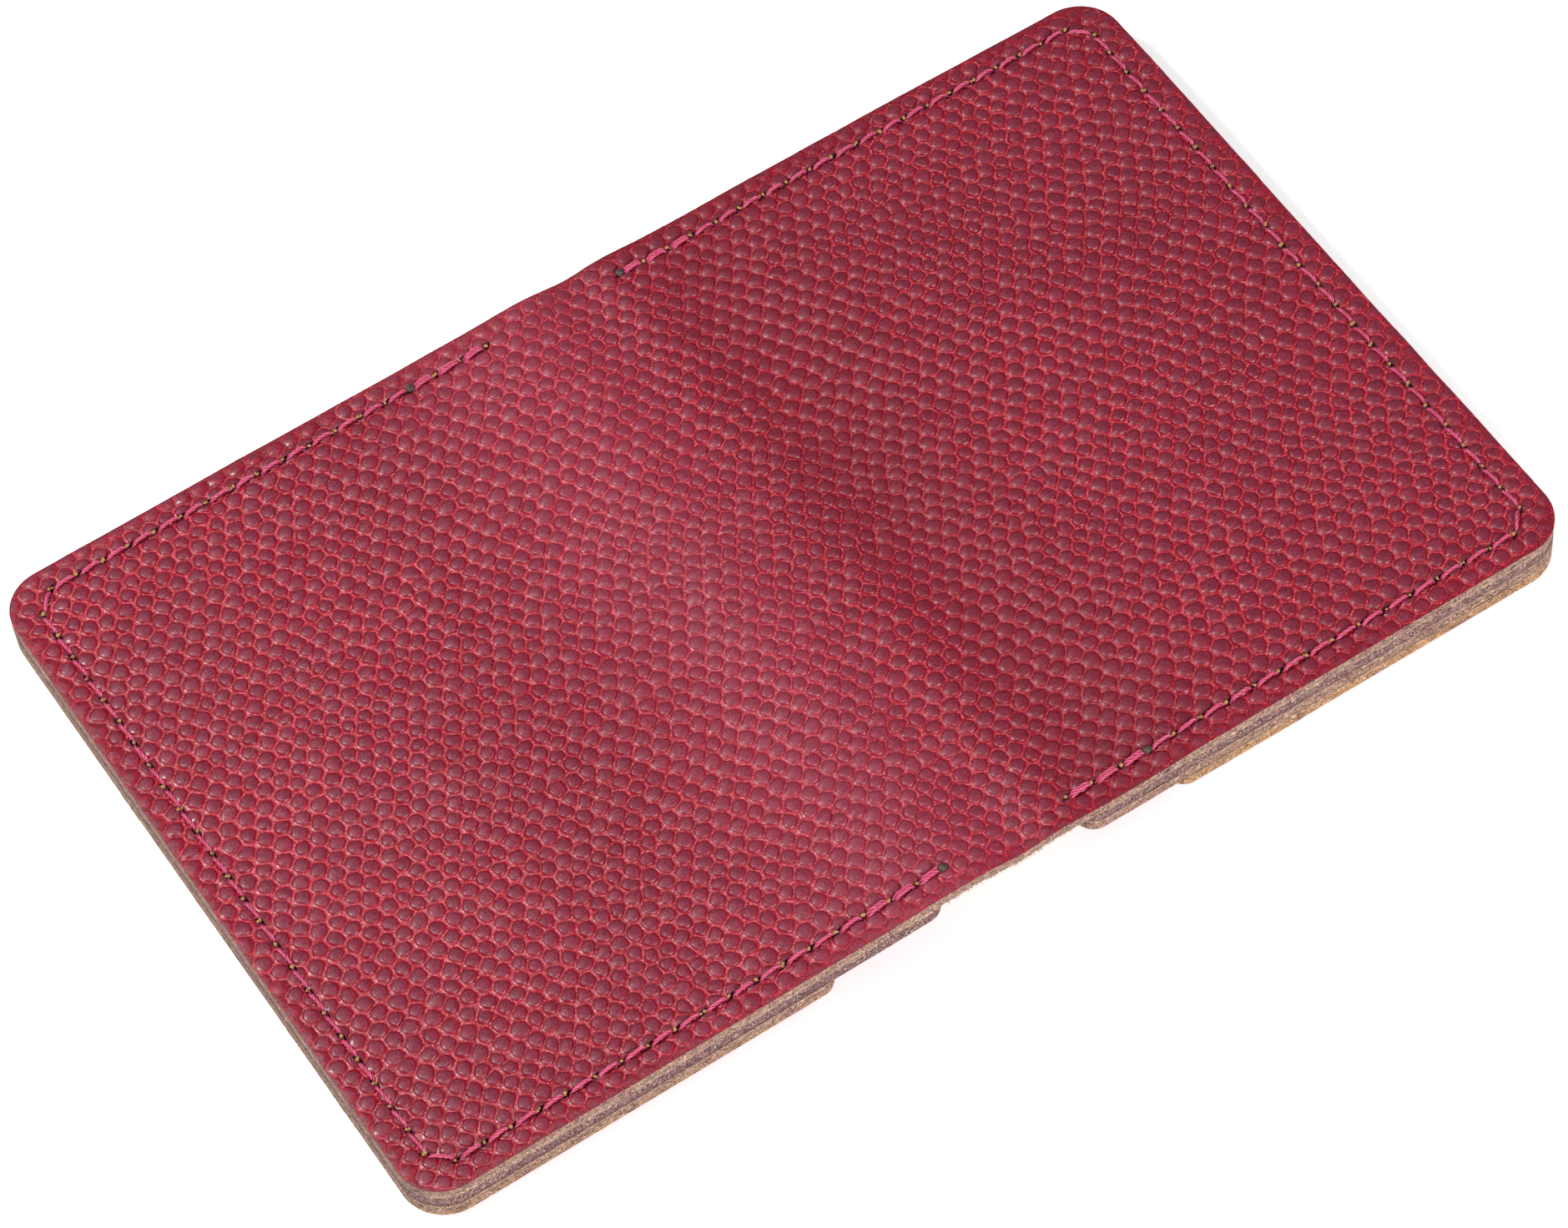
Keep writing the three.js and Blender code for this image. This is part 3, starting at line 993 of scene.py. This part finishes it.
def thread_route(side, parity):
    """One of the two threads of a saddle stitch: outside and inside by turns, through every hole."""
    holes = HOLES[side]
    last = len(holes) - 1
    route = []
    for k, (i, j) in enumerate(stitch_order(len(holes))):
        a, b = holes[i], holes[j]
        length = math.dist(a, b)
        ux, uy = (b[0] - a[0]) / length, (b[1] - a[1]) / length
        doubled = min(i, j) < TACK or max(i, j) > last - TACK
        lane = TACK_OFFSET if doubled else 0.0
        outside = (k + parity) % 2 == 0
        points = top_points(a, b) if outside else under_points(side, a, b)
        for along, sideways, z in points:
            offset = sideways + lane
            route.append((a[0] + ux * along - uy * offset, a[1] + uy * along + ux * offset, z))
    return route


def smooth_route(points):
    """A Catmull-Rom curve through the points, fine where the thread shows."""
    points = np.array(points)
    padded = np.vstack([2 * points[0] - points[1], points, 2 * points[-1] - points[-2]])
    curve = []
    for k in range(len(points) - 1):
        p0, p1, p2, p3 = padded[k:k + 4]
        gap = np.linalg.norm(p2 - p1)
        straight_down = math.hypot(p2[0] - p1[0], p2[1] - p1[1]) < 0.4 * abs(p2[2] - p1[2])
        count = max(1, round(gap / (COARSE_STEP if straight_down else FINE_STEP)))
        for step in range(count):
            t = step / count
            curve.append(0.5 * (2 * p1 + (p2 - p0) * t + (2 * p0 - 5 * p1 + 4 * p2 - p3) * t * t
                                + (3 * p1 - p0 - 3 * p2 + p3) * t ** 3))
    curve.append(points[-1])
    return np.array(curve)


def twisted(sheet, curve, along_notes, crevice_shade_notes):
    """Adds a thread of three twisted plies that follows a curve."""
    tangent = np.gradient(curve, axis=0)
    tangent /= np.linalg.norm(tangent, axis=1)[:, None]
    normal = np.zeros_like(curve)
    current = np.cross(tangent[0], (0.0, 0.0, 1.0))
    if np.linalg.norm(current) < 0.1:
        current = np.cross(tangent[0], (1.0, 0.0, 0.0))
    for k, t in enumerate(tangent):
        current = current - t * current.dot(t)
        current /= np.linalg.norm(current)
        normal[k] = current
    binormal = np.cross(tangent, normal)
    travelled = np.concatenate([[0], np.cumsum(np.linalg.norm(np.diff(curve, axis=0), axis=1))])
    angles = np.arange(PLY_SIDES) * 2 * math.pi / PLY_SIDES
    for ply in range(PLIES):
        turn = 2 * math.pi * (travelled / LAY + ply / PLIES)
        centre = curve + PLY_OFFSET * (np.cos(turn)[:, None] * normal + np.sin(turn)[:, None] * binormal)
        first = len(sheet.points)
        for k in range(len(curve)):
            for angle in angles:
                a = turn[k] + angle
                point = centre[k] + PLY_RADIUS * (math.cos(a) * normal[k] + math.sin(a) * binormal[k])
                sheet.add(*point)
                along_notes.append((travelled[k], math.cos(angle) + 3 * ply, math.sin(angle)))
                # painted shade share: 1 on the side of the ply that faces the thread's middle
                crevice_shade_notes.append(max(0.0, -math.cos(angle)))
        for k in range(len(curve) - 1):
            for side in range(PLY_SIDES):
                a = first + k * PLY_SIDES + side
                b = first + k * PLY_SIDES + (side + 1) % PLY_SIDES
                sheet.face((a, b, b + PLY_SIDES, a + PLY_SIDES), 0, False)
        sheet.face(range(first, first + PLY_SIDES), 0, True)
        end = first + (len(curve) - 1) * PLY_SIDES
        sheet.face(range(end, end + PLY_SIDES), 0, False)


BEAD_HOLES = {"left": (3, -1), "right": (0, -4)}  # holes counted from a run's far and near ends
BEAD_RADIUS = 0.56
BEAD_UNEVEN = 0.34
BEAD_STRETCH = (1.15, 0.9, 0.62)
BEAD_RISE = 0.06  # its middle above the grain
BEAD_RINGS = 8
BEAD_SIDES = 14


def bead(sheet, x, y, along_notes, crevice_shade_notes, rng):
    """A melted thread end: an uneven drop that sits in its hole."""
    shift = Vector((rng.uniform(0, 40), rng.uniform(0, 40), 0))
    rings = []
    for row in range(1, BEAD_RINGS):
        up = math.pi * row / BEAD_RINGS
        ring = []
        for k in range(BEAD_SIDES):
            turn = 2 * math.pi * k / BEAD_SIDES
            out = Vector((math.sin(up) * math.cos(turn), math.sin(up) * math.sin(turn), math.cos(up)))
            radius = BEAD_RADIUS * (1 + BEAD_UNEVEN * noise.noise(out * 1.7 + shift))
            reach = [part * radius * stretch for part, stretch in zip(out, BEAD_STRETCH)]
            ring.append(sheet.add(x + reach[0], y + reach[1], COVER_TOP + BEAD_RISE + reach[2]))
            along_notes.append(tuple(out * 2 + shift))
            crevice_shade_notes.append(0.0)
        rings.append(ring)
    for upper, lower in zip(rings, rings[1:]):
        for k in range(BEAD_SIDES):
            n = (k + 1) % BEAD_SIDES
            sheet.face((upper[k], lower[k], lower[n], upper[n]), 1, False)
    sheet.face(rings[0], 1, False)
    sheet.face(rings[-1], 1, True)


def stitching(side, materials):
    sheet = Sheet()
    along_notes, crevice_shade_notes = [], []
    for parity in (0, 1):
        twisted(sheet, smooth_route(thread_route(side, parity)), along_notes, crevice_shade_notes)
    rng = random.Random(40 + SIDE_SIGN[side])
    for k in BEAD_HOLES[side]:
        bead(sheet, *HOLES[side][k], along_notes, crevice_shade_notes, rng)
    piece = make_mesh(f"{side}_thread", sheet, materials)
    along = piece.data.attributes.new("along", "FLOAT_VECTOR", "POINT")
    along.data.foreach_set("vector", np.array(along_notes, np.float32).ravel())
    ply_crevice_shade = piece.data.attributes.new("ply_crevice_shade", "FLOAT", "POINT")
    ply_crevice_shade.data.foreach_set("value", np.array(crevice_shade_notes, np.float32))
    shade(piece, THREAD_SHARP)
    return piece


# ---- loose fibres

CRUMBS_PER_HOLE = 2
CRUMB_SIZE = (0.17, 0.30)
CRUMB_SPREAD = 0.26
HAIRS_PER_EDGE = 90
HAIR_REACH = 10.5  # the hairs hang from the flesh edge this far either side of the spine
HAIR_LENGTH = (0.25, 0.75)
HAIR_RADIUS = 0.045
GOLDEN = (1 + math.sqrt(5)) / 2
RECTANGLE = ((-1, GOLDEN, 0), (1, GOLDEN, 0), (-1, -GOLDEN, 0), (1, -GOLDEN, 0))
ICOSAHEDRON = [
    Vector(corner[-turn:] + corner[:-turn]).normalized()
    for turn in range(3) for corner in RECTANGLE
]
ICOSAHEDRON_FACES = (
    (0, 11, 5), (0, 5, 1), (0, 1, 7), (0, 7, 10), (0, 10, 11),
    (1, 5, 9), (5, 11, 4), (11, 10, 2), (10, 7, 6), (7, 1, 8),
    (3, 9, 4), (3, 4, 2), (3, 2, 6), (3, 6, 8), (3, 8, 9),
    (4, 9, 5), (2, 4, 11), (6, 2, 10), (8, 6, 7), (9, 8, 1),
)


def crumb(sheet, x, y, z, rng):
    """A torn bit of raw leather at the lip of a stitch hole."""
    size = rng.uniform(*CRUMB_SIZE)
    first = len(sheet.points)
    for corner in ICOSAHEDRON:
        reach = size * rng.uniform(0.7, 1.3)
        sheet.add(x + corner.x * reach, y + corner.y * reach, z + corner.z * reach,
                  tone=TORN, depth=0.2)
    for corners in ICOSAHEDRON_FACES:
        sheet.face([first + k for k in corners], RAW, False)


def hair(sheet, root, tip):
    """One fibre: a thin cone with three sides."""
    axis = (tip - root).normalized()
    across = axis.cross(Vector((0.3, 0.9, 0.2))).normalized() * HAIR_RADIUS
    other = axis.cross(across)
    base = []
    for k in range(3):
        angle = 2 * math.pi * k / 3
        side = root + across * math.cos(angle) + other * math.sin(angle)
        base.append(sheet.add(*side, groove=1, depth=1))
    end = sheet.add(*tip, groove=1, depth=1)
    sheet.face(base, FLESH, True)
    for k in range(3):
        sheet.face((base[k], base[(k + 1) % 3], end), FLESH, False)


def loose_fibres(side, materials):
    """Crumbs at a half's stitch holes, and hairs along the flesh edge of the bare spine."""
    sheet = Sheet()
    rng = random.Random(70 + SIDE_SIGN[side])
    for x, y in HOLES[side]:
        for _ in range(CRUMBS_PER_HOLE):
            crumb(sheet, x + rng.uniform(-CRUMB_SPREAD, CRUMB_SPREAD),
                  y + rng.uniform(0.0, CRUMB_SPREAD), COVER_TOP - rng.uniform(0.10, 0.28), rng)
    for edge in (-1, 1):
        for _ in range(HAIRS_PER_EDGE):
            x = SIDE_SIGN[side] * rng.uniform(0, HAIR_REACH)
            root = Vector((x, edge * (HALF_HEIGHT - rng.uniform(-0.02, 0.1)), COVER_BOTTOM + 0.05))
            way = Vector((rng.gauss(0, 0.6), edge * rng.uniform(0.1, 0.9), -rng.uniform(0.3, 1.0)))
            hair(sheet, root, root + way.normalized() * rng.uniform(*HAIR_LENGTH))
    return make_mesh("fibres", sheet, materials)


def join(piece, extra):
    """Makes a second mesh part of the piece."""
    both = [piece, extra]
    with bpy.context.temp_override(active_object=piece, object=piece, selected_objects=both,
                                   selected_editable_objects=both):
        bpy.ops.object.join()


# ---- the pieces

TOP_PRESS = (0.14, 0.55)  # depth and half width of the line that the stitches press
INNER_PRESS = (0.1, 0.5)
UNDER_PRESS = (0.62, 0.60)
HIDDEN_MARGIN = 2.5  # the pebbles go this far past the mouth of the layer that hides them
LAYER_FILL = 0.29  # the layers swell to close the gaps between the plain solids


def cell_x(cell):
    return centroid(cell["ring"])[0]


def outline_keys(cells):
    return {p for p, _ in open_edges(cells)}


def cover_pieces(materials):
    """The cover's left and right pieces, which meet unseen in a groove down the spine."""
    border_box = (LEFT_END, RIGHT_END, COVER_CORNER, COVER_CORNER)
    cells = sheet_cells(outline(*border_box), 11)
    edge = outline_keys(cells)
    pieces = {}
    for side in SIDE_SIGN:
        sheet = leather_sheet(
            cells,
            lambda cell: (cell_x(cell) < SPLIT) == (side == "left"),
            lambda cell: True,
            (COVER_TOP, COVER_BOTTOM),
            border_box, edge, 21 + SIDE_SIGN[side], TOP_PRESS,
        )
        piece = make_mesh(f"{side}_cover", sheet, materials)
        pierce(piece, side, COVER_BOTTOM - 1.5, COVER_TOP + 1.5)
        join(piece, loose_fibres(side, materials))
        shade(piece, LEATHER_SHARP)
        pieces[side] = piece
    return pieces


def pocket_sheet(name, node, side, seen_to, seed, pressed, materials):
    """A pocket layer, grain side down. Its pebbles are made where other layers don't hide them."""
    low, high = level_box(node) if side == "left" else millimetre_box(node)
    corners = (COVER_CORNER, MOUTH_CORNER) if side == "left" else (MOUTH_CORNER, COVER_CORNER)
    border_box = (low[0], high[0], *corners)
    cells = sheet_cells(outline(*border_box), seed)
    sheet = leather_sheet(
        cells,
        lambda cell: True,
        lambda cell: abs(cell_x(cell)) < seen_to,
        (low[2], high[2] + LAYER_FILL),
        border_box, outline_keys(cells), seed + 1, pressed,
    )
    piece = make_mesh(name, sheet, materials)
    pierce(piece, side, low[2] - 1.0, high[2] + 1.0)
    shade(piece, LEATHER_SHARP)
    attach(piece, f"{side}_half")
    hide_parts(node)


def pocket_pieces(materials):
    """Every pocket layer, with how far out its grain is seen."""
    left_front, right_front, right_inner = (
        MOUTHS["left"][0][0], MOUTHS["right"][0][0], MOUTHS["right"][1][0])
    layers = (
        ("left", "inner", "left_inner_pocket", left_front + HIDDEN_MARGIN, 31, INNER_PRESS),
        ("left", "front", "left_front_pocket", FAR, 33, UNDER_PRESS),
        ("right", "lining", "right_lining", right_inner + HIDDEN_MARGIN, 35, INNER_PRESS),
        ("right", "inner", "right_inner_pocket", right_front + HIDDEN_MARGIN, 37, INNER_PRESS),
        ("right", "front", "right_front_pocket", FAR, 39, UNDER_PRESS),
    )
    for side, layer, node, seen_to, seed, pressed in layers:
        pocket_sheet(f"{side}_{layer}_sheet", node, side, seen_to, seed, pressed, materials)


def across_fold(piece, side):
    """Bakes a piece's transform into its mesh."""
    if side == "left":
        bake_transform(piece)
    else:
        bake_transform(piece)


def build_case():
    leather = [grain_leather("pebbled_leather"), raw_edge("raw_edge"), flesh_side("flesh_side")]
    thread = [waxed_thread("waxed_thread"), melted_end("melted_end")]
    covers = cover_pieces(leather)
    for side, piece in covers.items():
        across_fold(piece, side)
    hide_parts("cover_left", "cover_spine")
    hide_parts("cover_right")
    pocket_pieces(leather)
    for side in SIDE_SIGN:
        piece = stitching(side, thread)
        across_fold(piece, side)
        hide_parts(f"stitching_{side}")


# ---- studio

CAMERA_PLACE = (-199.274, -365.273, 612.912)
CAMERA_TURN = (33.840, 2.933, -32.983)
CAMERA_LENS = 136.2145


def add_camera():
    data = bpy.data.cameras.new("camera")
    data.lens = CAMERA_LENS
    data.sensor_width = 36
    data.clip_start = 0.01
    data.clip_end = 20
    camera = new_object("camera", data)
    camera.location = Vector(CAMERA_PLACE) * MM
    camera.rotation_euler = Euler([math.radians(angle) for angle in CAMERA_TURN], "XYZ")
    bpy.context.scene.camera = camera


def add_light(name, place, size, power):
    """A square soft light that faces the case."""
    data = bpy.data.lights.new(name, "AREA")
    data.size = size * MM
    data.energy = power
    light = new_object(name, data)
    light.location = Vector(place) * MM
    light.rotation_euler = (-light.location).to_track_quat("-Z", "Y").to_euler()


FLOOR_REACH = 3000
FLOOR_LEVEL = -0.18  # under the lowest pebble


def add_floor():
    reach = FLOOR_REACH * MM
    mesh = bpy.data.meshes.new("floor")
    corners = [(-reach, -reach, 0), (reach, -reach, 0), (reach, reach, 0), (-reach, reach, 0)]
    mesh.from_pydata(corners, [], [(0, 1, 2, 3)])
    floor = new_object("floor", mesh)
    floor.location.z = FLOOR_LEVEL * MM
    s = Shader("floor_paper")
    mesh.materials.append(s.finish((0.9, 0.9, 0.9, 1), 0.9, None, Emission_Color=(1, 1, 1, 1),
                                   Emission_Strength=0.42))


def add_studio():
    world = bpy.data.worlds.new("studio")
    world.use_nodes = True
    background = world.node_tree.nodes["Background"]
    background.inputs["Color"].default_value = (1, 1, 1, 1)
    background.inputs["Strength"].default_value = 0.24
    bpy.context.scene.world = world
    add_light("key", (-345, 225, 590), 100, 5.0)
    add_light("front", (60, -640, 240), 420, 5.6)
    bpy.context.scene.view_settings.view_transform = "Standard"


add_camera()
add_studio()
add_floor()
build_case()
